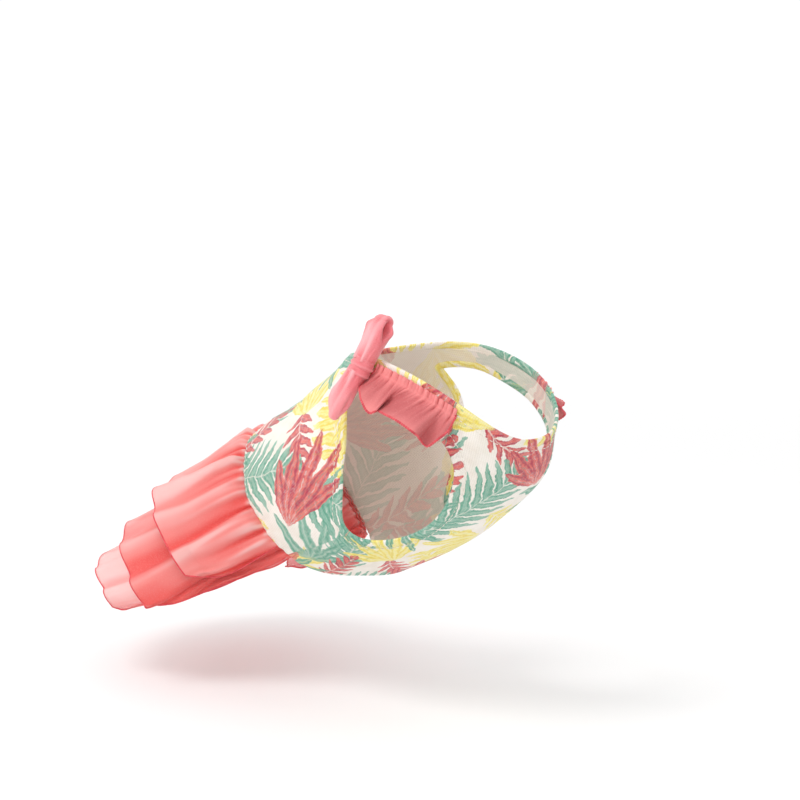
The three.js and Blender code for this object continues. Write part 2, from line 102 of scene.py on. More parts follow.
# Hem of a shoulder ruffle by the share of its length: turn, width from the neck seam, and rise off the
# shoulder. Where the turn goes back, a fold lies over the next one.
RUFFLE_HEM = {
    "share": [
        0, 0.06, 0.12, 0.2, 0.28, 0.32, 0.38, 0.44, 0.5, 0.58, 0.66, 0.74, 0.8, 0.84, 0.88, 0.93, 0.965, 1,
    ],
    "turn": [75, 77.5, 82.5, 87, 91, 92, 89.5, 88, 91, 96, 101, 106, 110, 110.5, 110, 115, 118.5, 121.5],
    "width": [6, 11, 15, 18.5, 21, 19, 17, 16.5, 17, 18, 18, 18.5, 19, 18, 17.5, 18.5, 15, 8],
    "rise": [0, 1, 3, 5, 5, 5.5, 1.5, -1, 1, 4.5, 6, 6.5, 6, 1.5, -3, -2, 2.5, 2],
}
RUFFLE_ENDS = (75.5, 122)
RUFFLE_LEAN = math.radians(30)
RUFFLE_HEADER = 0.2
KNOT_TURN, KNOT_LIFT = math.radians(-71), 7.6
KNOT_HALF_LENGTH, KNOT_HALF_HEIGHT, KNOT_HALF_DEPTH = 4.9, 6.7, 5.1
LOOP_ROOT = 3.6
BOW_WIDTH_WAY = np.array([0.356, 0.87, 0.2225])
# The bow's loops: the bend and the tip of the curve from the knot, and by the reach along it how far each of
# the two layers lies off the curve, half their thickness and their width.
LOOP_REACH = [0, 0.3, 0.6, 0.8, 1]
LOOPS = {
    "bow_loop_right": dict(
        bend=(-7.5, 5, -12), tip=(-9.6, 9.2, -22.8), seed=5,
        depth=[0.6, 0.7, 1.5, 1.4, 0.5],
        band=[3.6, 3.6, 2.9, 2.4, 1.7],
        width=[11, 13, 14, 12.5, 8],
    ),
    "bow_loop_left": dict(
        bend=(3, -6, 15), tip=(7.2, -7.6, 21.8), seed=9,
        depth=[0.6, 0.7, 2.0, 3.0, 1.4],
        band=[3.6, 3.7, 2.9, 2.2, 2.2],
        width=[11, 14, 16, 15.5, 10.5],
    ),
}


# Numbers and lines


def smooth(x):
    """0 up to x = 0, 1 from x = 1, and a smooth rise between."""
    x = np.clip(x, 0.0, 1.0)
    return x * x * (3 - 2 * x)


def lerp(a, b, t):
    return a + (b - a) * t


def unit(v):
    return v / np.maximum(np.linalg.norm(v, axis=-1, keepdims=True), 1e-9)


def column(rows, at, name, x):
    """Column of a table by another one, read at x on a smooth curve through its rows."""
    xs, ys = np.array(rows[at], float), np.array(rows[name], float)
    x = np.asarray(x, float)
    rise = np.diff(ys) / np.diff(xs)
    h = np.diff(xs)
    slope = np.empty(len(xs))
    slope[0], slope[-1] = rise[0], rise[-1]
    slope[1:-1] = (rise[:-1] * h[1:] + rise[1:] * h[:-1]) / (h[:-1] + h[1:])
    i = np.clip(np.searchsorted(xs, x, "left") - 1, 0, len(xs) - 2)
    s = (x - xs[i]) / h[i]
    return (
        ys[i] * (1 + 2 * s) * (1 - s) ** 2
        + slope[i] * h[i] * s * (1 - s) ** 2
        + ys[i + 1] * s * s * (3 - 2 * s)
        + slope[i + 1] * h[i] * s * s * (s - 1)
    )


def ripple(x, y, seed, waves):
    """Sum of a few sine waves over x and y: waves rows are (height, x count, y count)."""
    rng = np.random.default_rng(seed)
    total = 0.0
    for height, nx, ny in waves:
        a, b = rng.uniform(0, 2 * math.pi, 2)
        bend = 0.35 * np.sin(0.37 * nx * x + b)
        total = total + height * np.sin(nx * x + ny * y + a + bend)
    return total


def signed_power(x, power):
    return np.sign(x) * np.abs(x) ** power


def circle(count):
    """Angles at equal steps round a circle."""
    return np.linspace(0, 2 * math.pi, count, endpoint=False)


def both_sides(turn):
    """A turn of the whole round, counted from the middle of the back to either side."""
    return np.where(turn > math.pi, turn - 2 * math.pi, turn)


def run_along(line):
    """Distance along a line to each of its points."""
    return np.concatenate([[0], np.cumsum(np.linalg.norm(np.diff(line, axis=0), axis=1))])


def run_across(grid):
    """Distance along each row of a grid to each of its points."""
    steps = np.linalg.norm(np.diff(grid, axis=1), axis=-1)
    return np.concatenate([np.zeros((len(grid), 1)), steps.cumsum(1)], 1)


def from_middle(grid):
    """The same distance, counted from the grid's middle column."""
    run = run_across(grid)
    middle = grid.shape[1] // 2
    return run - run[:, middle : middle + 1]


def read_along(at, run, values):
    """Values that go with a line's points, read at other distances along it."""
    return np.stack([np.interp(at, run, values[:, k]) for k in range(values.shape[1])], -1)


def resampled(line, step):
    """The same line with its points about a step apart."""
    run = run_along(line)
    return read_along(np.linspace(0, run[-1], max(2, int(run[-1] / step))), run, line)


def closed(line):
    return np.concatenate([line, line[:1]])


# The wearer's trunk and the skirt's lie


def trunk(along, turn):
    """Places on the trunk that the bodice lies on."""
    along, turn = np.broadcast_arrays(np.asarray(along, float), np.asarray(turn, float))

    def at(name):
        return column(MIDLINE, "along", name, along)

    back = np.stack([at("backY"), at("backZ")], -1)
    belly = np.stack([at("bellyY"), at("bellyZ")], -1)
    half = (back - belly) / 2
    head = unit(np.stack([-half[..., 1], half[..., 0]], -1))
    c, s = np.cos(turn), np.sin(turn)
    power = 2 / (2 + (at("bellySquare") - 2) * 0.5 * (1 - c))
    across = signed_power(c, power) + at("sideShift") * s * s
    side = (back + belly) / 2 + half * across[..., None] + head * (at("saddle") * s * s)[..., None]
    return np.stack([at("halfWidth") * signed_power(s, power), side[..., 0], side[..., 1]], -1)


def frame_of(surface, u, v, du, dv):
    """Directions along u and v and square to both, from places a small step to either side."""
    along_u = unit(surface(u + du, v) - surface(u - du, v))
    along_v = unit(surface(u, v + dv) - surface(u, v - dv))
    return along_u, along_v, unit(np.cross(along_u, along_v))


def trunk_frame(along, turn):
    """Directions towards the head, round the trunk and out of it."""
    return frame_of(trunk, along, turn, 0.004, 0.01)


def lifted(along, turn, lift):
    """Places this far off the trunk."""
    out = trunk_frame(along, turn)[2]
    return trunk(along, turn) + out * np.asarray(lift, float)[..., None]


def waist_hem(turn):
    """Where the back panel ends: its waist seam rises near the side seams."""
    return SEAM_RISE * np.minimum(1, np.abs(turn / math.radians(SIDE_SEAM))) ** 5


def belly_hem(turn):
    """Where the chest panel ends: its hem rises from the side seams to the middle of the belly."""
    share = (np.degrees(turn) - SIDE_SEAM) / (180 - SIDE_SEAM)
    return lerp(SEAM_RISE, BELLY_RISE, smooth(np.where(share > 1, 2 - share, share)))


def free_lie(down, turn):
    """How the skirt would lie below a waist of its own, without folds."""

    def at(name):
        return column(SKIRT, "down", name, down)

    c, s = np.cos(turn), np.sin(turn)
    short = at("sideShort") * s * s + at("endShort") * np.abs(turn / np.radians(at("end"))) ** 6
    top = np.stack([at("topY"), at("topZ")], -1)
    side = top + BACK_WAY * (at("drop") * (c - 1))[..., None] - TAIL_WAY * short[..., None]
    return np.stack([at("halfWidth") * s, side[..., 0], side[..., 1]], -1)


def skirt_lie(down, turn, blend=40):
    """How the skirt lies without folds: at the waist seam it meets the bodice."""
    down, turn = np.broadcast_arrays(np.asarray(down, float), np.asarray(turn, float))
    step = trunk(waist_hem(turn), turn) - free_lie(np.zeros_like(down), turn)
    return free_lie(down, turn) + step * (1 - smooth(down / blend))[..., None]


def fold_height(down, turn, broad):
    """Height of the folds, which grow from the waist seam and are this much broader near the hem."""
    share = down / SKIRT_LENGTH
    wider = lerp(1.0, broad, smooth(share * 1.5))
    total = 0.0
    for waist, hem, height, spread in FOLDS:
        off = (np.degrees(turn) - lerp(waist, hem, share)) / (spread * wider)
        total = total + height * np.exp(-off * off)
    return total * smooth(down / 10) * (0.35 + 0.65 * smooth(share * 1.6))


def crease_depth(down, turn, length):
    """Depth of the creases between the folds, gradual on the side of the back's midline and steep on the
    other, and how much painted highlight runs along their steep side."""
    share = down / length
    total, painted_highlight = 0.0, 0.0
    for waist, hem, depth, spread, left in CREASES:
        middle = lerp(waist, hem, share)
        past = (np.degrees(turn) - middle) * np.sign(middle) / (spread * (0.75 + 0.5 * share))
        off = past / np.where(past < 0, CREASE_GRADUAL, CREASE_STEEP)
        kept = lerp(1.0, left, smooth(share * 1.1)) * smooth(down / 7)
        total = total + depth * np.exp(-off * off) * kept
        painted_highlight = painted_highlight + depth / 4 * np.exp(-(((past - 1.25) / 0.55) ** 2)) * kept
    return total, painted_highlight


# Meshes


def mesh_object(name, points, faces, uv, material, sharp=1.0, values=None):
    """points in millimetres, faces a list of index arrays of shape (count, 3 or 4), uv one pair a point, and
    values the numbers a point that a material reads, by name."""
    mesh = bpy.data.meshes.new(name)
    used, back = np.unique(np.concatenate([f.ravel() for f in faces]), return_inverse=True)
    points, uv = points[used] * MM, uv[used]
    sizes = np.concatenate([np.full(len(f), f.shape[1]) for f in faces])
    starts = np.concatenate([[0], np.cumsum(sizes)[:-1]])
    mesh.vertices.add(len(points))
    mesh.vertices.foreach_set("co", points.astype(np.float32).ravel())
    mesh.loops.add(len(back))
    mesh.loops.foreach_set("vertex_index", back.astype(np.int32).ravel())
    mesh.polygons.add(len(sizes))
    mesh.polygons.foreach_set("loop_start", starts.astype(np.int32))
    mesh.update(calc_edges=True)
    layer = mesh.uv_layers.new(name="cloth")
    layer.data.foreach_set("uv", uv[back.ravel()].astype(np.float32).ravel())
    mesh.polygons.foreach_set("use_smooth", np.ones(len(sizes), bool))
    mesh.set_sharp_from_angle(angle=sharp)
    for key, numbers in (values or {}).items():
        stored = mesh.attributes.new(key, "FLOAT", "POINT")
        stored.data.foreach_set("value", numbers[used].astype(np.float32))
    mesh.validate()
    mesh.materials.append(material)
    made = bpy.data.objects.new(name, mesh)
    bpy.context.scene.collection.objects.link(made)
    return made


def grid_quads(rows, cols, rows_close=False, cols_close=False):
    """Faces of a grid of vertices, whose rows or columns may go all the way round."""
    row, col = np.meshgrid(np.arange(rows - 1 + rows_close), np.arange(cols - 1 + cols_close), indexing="ij")
    next_row, next_col = (row + 1) % rows, (col + 1) % cols
    corners = [row * cols + col, row * cols + next_col, next_row * cols + next_col, next_row * cols + col]
    return np.stack([c.ravel() for c in corners], 1)


def end_caps(rings, sides):
    """Faces that close the first and the last of a row of rings."""
    fan = np.arange(1, sides - 1)
    end = (rings - 1) * sides
    first = np.stack([0 * fan, fan + 1, fan], 1)
    last = np.stack([0 * fan + end, end + fan, end + fan + 1], 1)
    return np.concatenate([first, last])


def cloth(name, mid, wall, uv, material, keep=None, values=None):
    """Closed sheet of a wall's thickness about a grid of middle points. values has two numbers a grid point,
    for the side that rows and columns turn outwards and for the other."""
    rows, cols = mid.shape[:2]
    out = unit(np.cross(np.gradient(mid, axis=1), np.gradient(mid, axis=0)))
    top = (mid + out * wall / 2).reshape(-1, 3)
    low = (mid - out * wall / 2).reshape(-1, 3)
    quads = grid_quads(rows, cols)
    if keep is not None:
        quads = quads[keep.ravel()]
    count = rows * cols
    a = quads.ravel()
    b = np.roll(quads, -1, axis=1).ravel()
    edge = ~np.isin(a * count + b, b * count + a)
    a, b = a[edge], b[edge]
    rim = np.stack([b, a, a + count, b + count], 1)
    faces = [quads, quads[:, ::-1] + count, rim]
    flat = np.tile(uv.reshape(-1, 2), (2, 1))
    return mesh_object(name, np.concatenate([top, low]), faces, flat, material, values=values)


def tube(name, centre, across, up, sides, loop, material, uv_of=None, flat=1.0):
    """Tube round a line of centres; across and up are the half axes of its section at each, and the section
    is squarer for flat under 1."""
    rings = len(centre)
    angle = circle(sides)
    ca, sa = signed_power(np.cos(angle), flat), signed_power(np.sin(angle), flat)
    points = centre[:, None] + across[:, None] * ca[None, :, None] + up[:, None] * sa[None, :, None]
    if uv_of is None:
        girth = angle * np.linalg.norm(across, axis=1).mean()
        uv = np.stack(np.broadcast_arrays(run_along(centre)[:, None], girth[None]), -1) / CLOTH_UNIT
    else:
        uv = uv_of(points)
    faces = [grid_quads(rings, sides, loop, True)]
    if not loop:
        faces.append(end_caps(rings, sides))
    return mesh_object(name, points.reshape(-1, 3), faces, uv.reshape(-1, 2), material)


def edge_tube(name, line, radius, material, bumps, sides=8, pitch=1.35):
    """Round tube along an open line, with its radius rising and falling once in a pitch."""
    way = unit(np.gradient(line, axis=0))
    side = unit(np.cross(way, np.array([0.3, 0.2, 0.93])))
    up = np.cross(side, way)
    size = radius * (1 + bumps * np.sin(run_along(line) * 2 * math.pi / pitch))
    return tube(name, line, side * size[:, None], up * size[:, None], sides, False, material)


def stitches(name, line, out, material, length=2.0, pitch=2.9, half=0.22, rings=5, sides=6):
    """Row of short threads lying on the cloth along a line, with the cloth's outward vectors."""
    run = run_along(line)
    starts = np.arange(0.5, run[-1] - length, pitch)
    share = np.linspace(0, 1, rings)
    at = starts[:, None] + length * share[None]
    centre = read_along(at, run, line)
    rise = unit(read_along(at, run, out))
    side = unit(np.cross(unit(np.gradient(centre, axis=1)), rise))
    arch = np.sin(share * math.pi)
    centre = centre + rise * (half * (arch * 1.1 - 0.35))[None, :, None]
    size = half * (0.35 + 0.65 * arch**0.5)
    angle = circle(sides)[:, None]
    section = side[:, :, None] * np.cos(angle) + rise[:, :, None] * np.sin(angle)
    points = (centre[:, :, None] + section * size[None, :, None, None]).reshape(-1, 3)
    base = (np.arange(len(starts)) * rings * sides)[:, None, None]
    faces = [grid_quads(rings, sides, cols_close=True), end_caps(rings, sides)]
    faces = [(part[None] + base).reshape(-1, part.shape[1]) for part in faces]
    return mesh_object(name, points, faces, points[:, [0, 2]] / CLOTH_UNIT, material, sharp=1.4)


# Materials


def linear(*rgb):
    value = np.array(rgb, float) / 255
    value = np.where(value <= 0.04045, value / 12.92, ((value + 0.055) / 1.055) ** 2.4)
    return (*value.tolist(), 1.0)


class Nodes:
    """Nodes of one tree, written as expressions."""

    def __init__(self, tree):
        self.tree = tree

    def put(self, socket, value):
        if isinstance(value, bpy.types.NodeSocket):
            self.tree.links.new(value, socket)
        else:
            socket.default_value = value

    def node(self, kind, inputs=(), **settings):
        made = self.tree.nodes.new(kind)
        for key, value in settings.items():
            setattr(made, key, value)
        for key, value in dict(inputs).items():
            self.put(made.inputs[key], value)
        return made

    def math(self, operation, *values):
        made = self.node("ShaderNodeMath", operation=operation)
        for socket, value in zip(made.inputs, values):
            self.put(socket, value)
        return made.outputs[0]

    def plus(self, a, b):
        return self.math("ADD", a, b)

    def minus(self, a, b):
        return self.math("SUBTRACT", a, b)

    def times(self, a, b):
        return self.math("MULTIPLY", a, b)

    def step(self, value, low, high):
        """0 below low, 1 above high, and smooth between."""
        made = self.node(
            "ShaderNodeMapRange",
            {"Value": value, "From Min": low, "From Max": high, "To Min": 0.0, "To Max": 1.0},
            interpolation_type="SMOOTHSTEP",
        )
        return made.outputs["Result"]

    def mix(self, share, a, b, blend="MIX"):
        made = self.node("ShaderNodeMix", data_type="RGBA", blend_type=blend)
        self.put(made.inputs[0], share)
        self.put(made.inputs[6], a)
        self.put(made.inputs[7], b)
        return made.outputs[2]

    def uv(self):
        return self.node("ShaderNodeUVMap", uv_map="cloth").outputs[0]

    def place(self):
        return self.node("ShaderNodeTexCoord").outputs["Object"]

    def vector(self, operation, inputs):
        return self.node("ShaderNodeVectorMath", inputs, operation=operation).outputs[0]

    def noise(self, vector, scale, detail, roughness):
        made = self.node(
            "ShaderNodeTexNoise",
            {"Vector": vector, "Scale": scale, "Detail": detail, "Roughness": roughness},
        )
        return made.outputs[0]

    def warped(self, vector, scale, size):
        """The coordinates moved about by a noise, by up to half of size each way."""
        noise = self.node("ShaderNodeTexNoise", {"Vector": vector, "Scale": scale, "Detail": 2.0})
        middle = self.vector("SUBTRACT", {0: noise.outputs["Color"], 1: (0.5, 0.5, 0.5)})
        small = self.vector("SCALE", {0: middle, "Scale": size})
        return self.vector("ADD", {0: vector, 1: small})

    def attribute(self, name):
        return self.node("ShaderNodeAttribute", attribute_name=name).outputs["Fac"]

    def split(self, vector):
        made = self.node("ShaderNodeSeparateXYZ", {"Vector": vector})
        return made.outputs[0], made.outputs[1]

    def bump(self, height, distance, strength):
        inputs = {"Height": height, "Distance": distance, "Strength": strength}
        return self.node("ShaderNodeBump", inputs).outputs[0]


class Shade(Nodes):
    """One material and its nodes."""

    def __init__(self, name):
        self.material = bpy.data.materials.new(name)
        self.material.use_nodes = True
        super().__init__(self.material.node_tree)
        self.bsdf = next(n for n in self.tree.nodes if n.type == "BSDF_PRINCIPLED")

    def finish(self, **inputs):
        for key, value in inputs.items():
            self.put(self.bsdf.inputs[key.replace("_", " ")], value)
        return self.material


def knit_height(shade, pitch):
    """Height of fine knit columns, with their pitch in cloth units."""
    m, plus, times = shade.math, shade.plus, shade.times
    x, y = shade.split(shade.uv())
    ribs = m("ABSOLUTE", m("SINE", times(x, math.pi / pitch)))
    lean = plus(times(y, 2 * math.pi / (pitch * 0.8)), times(ribs, 1.6))
    rows = m("ABSOLUTE", m("SINE", times(lean, 0.5)))
    return plus(times(ribs, 0.6), times(rows, 0.4))


TILE = (1.12, 1.04)
INKS = {
    "teal": (linear(84, 158, 132), linear(150, 194, 174)),
    "crimson": (linear(184, 54, 80), linear(232, 122, 112)),
    "yellow": (linear(238, 216, 84), linear(249, 240, 160)),
}
# Motifs of the print, later ones on top: ink and form, centre u and v, angle in degrees, length, half width
# of a frond or of a fan's leaflet, number of leaflets, and a fan's half angle in degrees.
MOTIFS = [
    ("teal_frond", 0.20, 0.50, 62, 0.62, 0.16, 9, 0),
    ("yellow_frond", 0.74, 0.60, 20, 0.50, 0.12, 6, 0),
    ("crimson_frond", 0.88, 0.44, 205, 0.40, 0.10, 6, 0),
    ("yellow_fan", 0.30, 0.06, 80, 0.40, 0.044, 5, 60),
    ("yellow_fan", 0.10, 0.62, 25, 0.44, 0.044, 5, 62),
    ("teal_frond", 0.96, 0.08, 118, 0.78, 0.20, 11, 0),
    ("yellow_frond", 0.60, 0.97, 205, 0.46, 0.11, 7, 0),
    ("teal_fan", 0.44, 0.20, 28, 0.50, 0.040, 9, 88),
    ("crimson_frond", 0.08, 0.22, 80, 0.44, 0.10, 6, 0),
    ("teal_frond", 0.42, 0.46, 148, 0.62, 0.17, 10, 0),
    ("crimson_fan", 0.70, 0.38, 62, 0.46, 0.050, 5, 48),
    ("yellow_fan", 0.84, 0.74, -35, 0.40, 0.040, 5, 60),
    ("crimson_fan", 0.34, 0.88, -72, 0.40, 0.046, 5, 50),
    ("teal_fan", 0.02, 0.92, 160, 0.42, 0.034, 7, 80),
]


def frond(shade, ahead, beside, length, width, count):
    """Feathered leaf: how far a place is leaf and how far midrib, and where across a leaflet it lies."""
    m, minus, times = shade.math, shade.minus, shade.times
    t = m("DIVIDE", ahead, length)
    hump = m("MAXIMUM", times(times(t, minus(1.0, t)), 4.0), 0.0)
    half = times(m("POWER", hump, 0.6), width)
    off = m("ABSOLUTE", beside)
    far = m("MINIMUM", m("DIVIDE", off, m("MAXIMUM", half, 0.0005)), 1.0)
    lean = times(minus(ahead, times(off, 0.85)), count / length)
    across = times(m("ABSOLUTE", minus(m("FRACT", lean), 0.5)), 2.0)
    room = times(m("POWER", minus(1.0, far), 0.5), 1.02)
    body = shade.step(minus(room, across), 0.0, 0.14)
    vein = shade.step(minus(0.0045, off), 0.0, 0.002)
    return body, vein, across


def fan(shade, ahead, beside, length, width, count, spread):
    """Fan of leaflets from one point, with the same three values."""
    m, plus, minus, times = shade.math, shade.plus, shade.minus, shade.times
    r = m("SQRT", plus(times(ahead, ahead), times(beside, beside)))
    theta = m("ARCTAN2", beside, ahead)
    pitch = 2 * spread / count
    turn = m("MINIMUM", m("ABSOLUTE", m("DIVIDE", theta, spread)), 1.0)
    tip = times(minus(1.0, times(times(turn, turn), 0.42)), length)
    far = m("MINIMUM", m("DIVIDE", r, tip), 1.0)
    hump = times(m("POWER", far, 0.55), m("POWER", minus(1.0, far), 0.6))
    half = times(hump, width * 1.9)
    off = times(m("ABSOLUTE", m("WRAP", theta, pitch / 2, -pitch / 2)), r)
    within = times(m("LESS_THAN", turn, 1.0), minus(half, off))
    body = shade.step(within, 0.0, 0.004)
    vein = shade.step(minus(0.0022, off), 0.0, 0.0015)
    return body, vein, m("DIVIDE", off, m("MAXIMUM", half, 0.001))


def print_colour(shade):
    """Colour of the leaf print, over the cloth's own coordinates."""
    m, plus, minus, times = shade.math, shade.plus, shade.minus, shade.times
    uv = shade.uv()
    x, y = shade.split(shade.warped(shade.warped(uv, 13.0, 0.05), 70.0, 0.012))
    blotch = shade.noise(uv, 9.0, 3.0, 0.6)
    grain = shade.noise(uv, 55.0, 3.0, 0.7)
    wash = shade.noise(uv, 26.0, 2.0, 0.5)
    colour = shade.mix(shade.step(blotch, 0.35, 0.75), linear(249, 243, 234), linear(241, 232, 220))
    for kind, cu, cv, angle, length, width, count, spread in MOTIFS:
        ink, form = kind.split("_")
        c, s = math.cos(math.radians(angle)), math.sin(math.radians(angle))
        dx = m("WRAP", minus(x, cu), TILE[0] / 2, -TILE[0] / 2)
        dy = m("WRAP", minus(y, cv), TILE[1] / 2, -TILE[1] / 2)
        ahead = plus(plus(times(dx, c), times(dy, s)), length / 2)
        beside = minus(times(dy, c), times(dx, s))
        if form == "frond":
            body, vein, across = frond(shade, ahead, beside, length, width, count)
        else:
            body, vein, across = fan(shade, ahead, beside, length, width, count, math.radians(spread))
        streak = plus(times(m("SINE", times(across, 9.0)), 0.25), grain)
        brush = shade.step(plus(times(streak, 0.6), times(wash, 0.5)), 0.35, 0.8)
        wet = times(body, minus(1.0, times(vein, 0.55)))
        wet = times(wet, plus(0.72, times(shade.step(grain, 0.3, 0.6), 0.28)))
        colour = shade.mix(wet, colour, shade.mix(brush, *INKS[ink]))
    return colour


def make_print(name):
    """Printed knit; its print shows faded on the inner side."""
    shade = Shade(name)
    plus, times = shade.plus, shade.times
    colour = print_colour(shade)
    faded = shade.mix(0.72, colour, linear(238, 228, 217))
    colour = shade.mix(shade.attribute("inner"), colour, faded)
    height = knit_height(shade, 0.011)
    fuzz = shade.noise(shade.place(), 2600.0, 2.0, 0.6)
    shadow = plus(0.90, times(height, 0.12))
    return shade.finish(
        Base_Color=shade.vector("SCALE", {0: colour, "Scale": shadow}),
        Roughness=plus(0.78, times(fuzz, 0.15)),
        Normal=shade.bump(plus(height, times(fuzz, 0.8)), 0.00022, 0.8),
        Sheen_Weight=0.25, Sheen_Roughness=0.5, Specular_IOR_Level=0.25,
    )


def make_chiffon(name, pitch=0.0042):
    """Thin chiffon with painted shade in the creases and a painted highlight on the crests, with its weave's
    pitch in cloth units.
    """
    shade = Shade(name)
    m, plus, minus, times = shade.math, shade.plus, shade.minus, shade.times
    x, y = shade.split(shade.uv())
    warp = m("SINE", times(x, 2 * math.pi / pitch))
    weft = m("SINE", times(y, 2 * math.pi / pitch))
    weave = times(warp, weft)
    crepe = shade.noise(shade.place(), 1500.0, 3.0, 0.6)
    slow = shade.noise(shade.place(), 30.0, 2.0, 0.5)
    # Painted shade colour for the creases, clear middle tone, painted highlight colour for the crests.
    deep, clear, pale = linear(250, 96, 91), linear(254, 148, 143), linear(255, 198, 194)
    painted_light = plus(shade.attribute("painted_light"), times(minus(slow, 0.5), 0.35))
    base = shade.mix(shade.step(painted_light, -0.2, 0.42), deep, clear)
    base = shade.mix(shade.step(painted_light, 0.34, 0.8), base, pale)
    base = shade.mix(times(shade.step(crepe, 0.45, 0.75), 0.2), base, linear(255, 182, 176))
    return shade.finish(
        Base_Color=base,
        Roughness=plus(0.55, times(crepe, 0.25)),
        Alpha=shade.attribute("cover"),
        Normal=shade.bump(plus(times(weave, 0.3), crepe), 0.0001, 0.6),
        Sheen_Weight=0.3, Sheen_Roughness=0.4, Sheen_Tint=linear(255, 214, 208), Specular_IOR_Level=0.3,
    )


def make_jersey(name, light, dark, painted_highlight, fuzz_size, sheen, bump):
    """Soft knit in two close colours, with a painted highlight where its painted light value is high."""
    shade = Shade(name)
    plus, times = shade.plus, shade.times
    height = knit_height(shade, 0.009)
    fuzz = shade.noise(shade.place(), fuzz_size, 3.0, 0.65)
    slow = shade.noise(shade.place(), 60.0, 2.0, 0.5)
    base = shade.mix(shade.step(slow, 0.3, 0.7), light, dark)
    # Painted highlight on the crests, mixed in by the painted light value.
    base = shade.mix(shade.step(shade.attribute("painted_light"), 0.2, 1.0), base, painted_highlight)
    base = shade.mix(times(shade.step(fuzz, 0.5, 0.8), 0.25), base, linear(255, 190, 190))
    return shade.finish(
        Base_Color=base,
        Roughness=plus(0.6, times(fuzz, 0.3)),
        Normal=shade.bump(plus(times(height, 0.4), fuzz), bump, 0.8),
        Sheen_Weight=sheen, Sheen_Roughness=0.45, Sheen_Tint=linear(255, 205, 205), Specular_IOR_Level=0.25,
    )


def make_thread(name, light, dark):
    shade = Shade(name)
    plus, times = shade.plus, shade.times
    fuzz = shade.noise(shade.place(), 1800.0, 3.0, 0.6)
    slow = shade.noise(shade.place(), 300.0, 2.0, 0.5)
    base = shade.mix(shade.step(slow, 0.35, 0.65), light, dark)
    return shade.finish(
        Base_Color=base,
        Roughness=plus(0.6, times(fuzz, 0.3)),
        Normal=shade.bump(fuzz, 0.0002, 0.8),
        Sheen_Weight=0.2,
        Specular_IOR_Level=0.3,
    )


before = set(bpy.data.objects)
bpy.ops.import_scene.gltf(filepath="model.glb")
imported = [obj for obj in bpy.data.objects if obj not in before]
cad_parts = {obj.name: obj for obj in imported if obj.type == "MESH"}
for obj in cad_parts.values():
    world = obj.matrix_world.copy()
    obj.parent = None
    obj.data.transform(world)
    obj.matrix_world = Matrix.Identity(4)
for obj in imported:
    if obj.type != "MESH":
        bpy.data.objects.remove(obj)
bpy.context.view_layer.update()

KNIT = make_print("printed_knit")
CHIFFON = make_chiffon("chiffon")
# Each knit's two colours, then the colour of its painted highlight.
JERSEY = linear(206, 112, 112), linear(192, 94, 96), linear(252, 154, 152)
RUFFLE = make_jersey("ruffle_jersey", *JERSEY, fuzz_size=1500.0, sheen=0.3, bump=0.00015)
BOW_COLOURS = linear(247, 146, 151), linear(238, 124, 131), linear(255, 186, 190)
BOW = make_jersey("bow_knit", *BOW_COLOURS, fuzz_size=900.0, sheen=0.8, bump=0.0006)
HEM = make_thread("hem_thread", linear(232, 84, 92), linear(216, 66, 76))
SERGE = make_thread("serge_thread", linear(226, 92, 98), linear(204, 70, 80))
STITCH = make_thread("stitch_thread", linear(246, 240, 230), linear(232, 222, 208))


# Bodice


def closed_curve(points, count, steps=60):
    """Closed centripetal Catmull-Rom curve through points, at equal steps along it."""
    p1 = np.array(points, float)
    p0, p2, p3 = (np.roll(p1, -k, axis=0) for k in (-1, 1, 2))
    d0, d1, d2 = (np.linalg.norm(b - a, axis=1)[:, None] ** 0.5 for a, b in ((p0, p1), (p1, p2), (p2, p3)))
    t1 = ((p1 - p0) / d0 - (p2 - p0) / (d0 + d1) + (p2 - p1) / d1) * d1
    t2 = ((p2 - p1) / d1 - (p3 - p1) / (d1 + d2) + (p3 - p2) / d2) * d1
    t = np.linspace(0, 1, steps, endpoint=False)[:, None, None]
    made = (
        (2 * t**3 - 3 * t**2 + 1) * p1
        + (t**3 - 2 * t**2 + t) * t1
        + (3 * t**2 - 2 * t**3) * p2
        + (t**3 - t**2) * t2
    )
    made = closed(made.swapaxes(0, 1).reshape(-1, 2))
    run = run_along(made)
    return read_along(np.linspace(0, run[-1], count, endpoint=False), run, made)


# The leg hole's edge in per cent along and degrees round, and about how many millimetres one of each is.
HOLE = closed_curve([(along * 100, turn) for along, turn in LEG_HOLE], 240)
PLACE_SIZE = np.array([0.9, 0.75])
HOLE_SNAP = 1.9
PRINT_START = {"back_panel": np.array([0.30, 0.02]), "chest_panel": np.array([0.75, 0.40])}
CUTS = {}


def inside(points, polygon):
    x, y = points[..., 0], points[..., 1]
    found = np.zeros(x.shape, bool)
    for (ax, ay), (bx, by) in zip(polygon, np.roll(polygon, -1, axis=0)):
        cross = (ay > y) != (by > y)
        with np.errstate(divide="ignore", invalid="ignore"):
            found ^= cross & (x < (bx - ax) * (y - ay) / (by - ay) + ax)
    return found


def knit_lift(along, turn):
    """Small wrinkles of the bodice's cloth, with puckers along the waist seam."""
    near_waist = np.exp(-(((along - waist_hem(turn)) / 0.06) ** 2))
    pucker = ripple(turn, along * 4, 21, [(0.16, 47, 3), (0.12, 68, -4)]) * near_waist
    slow = ripple(turn, along, 22, [(0.4, 5.3, 9), (0.3, 8.9, -13), (0.18, 15, 17)])
    return pucker + slow


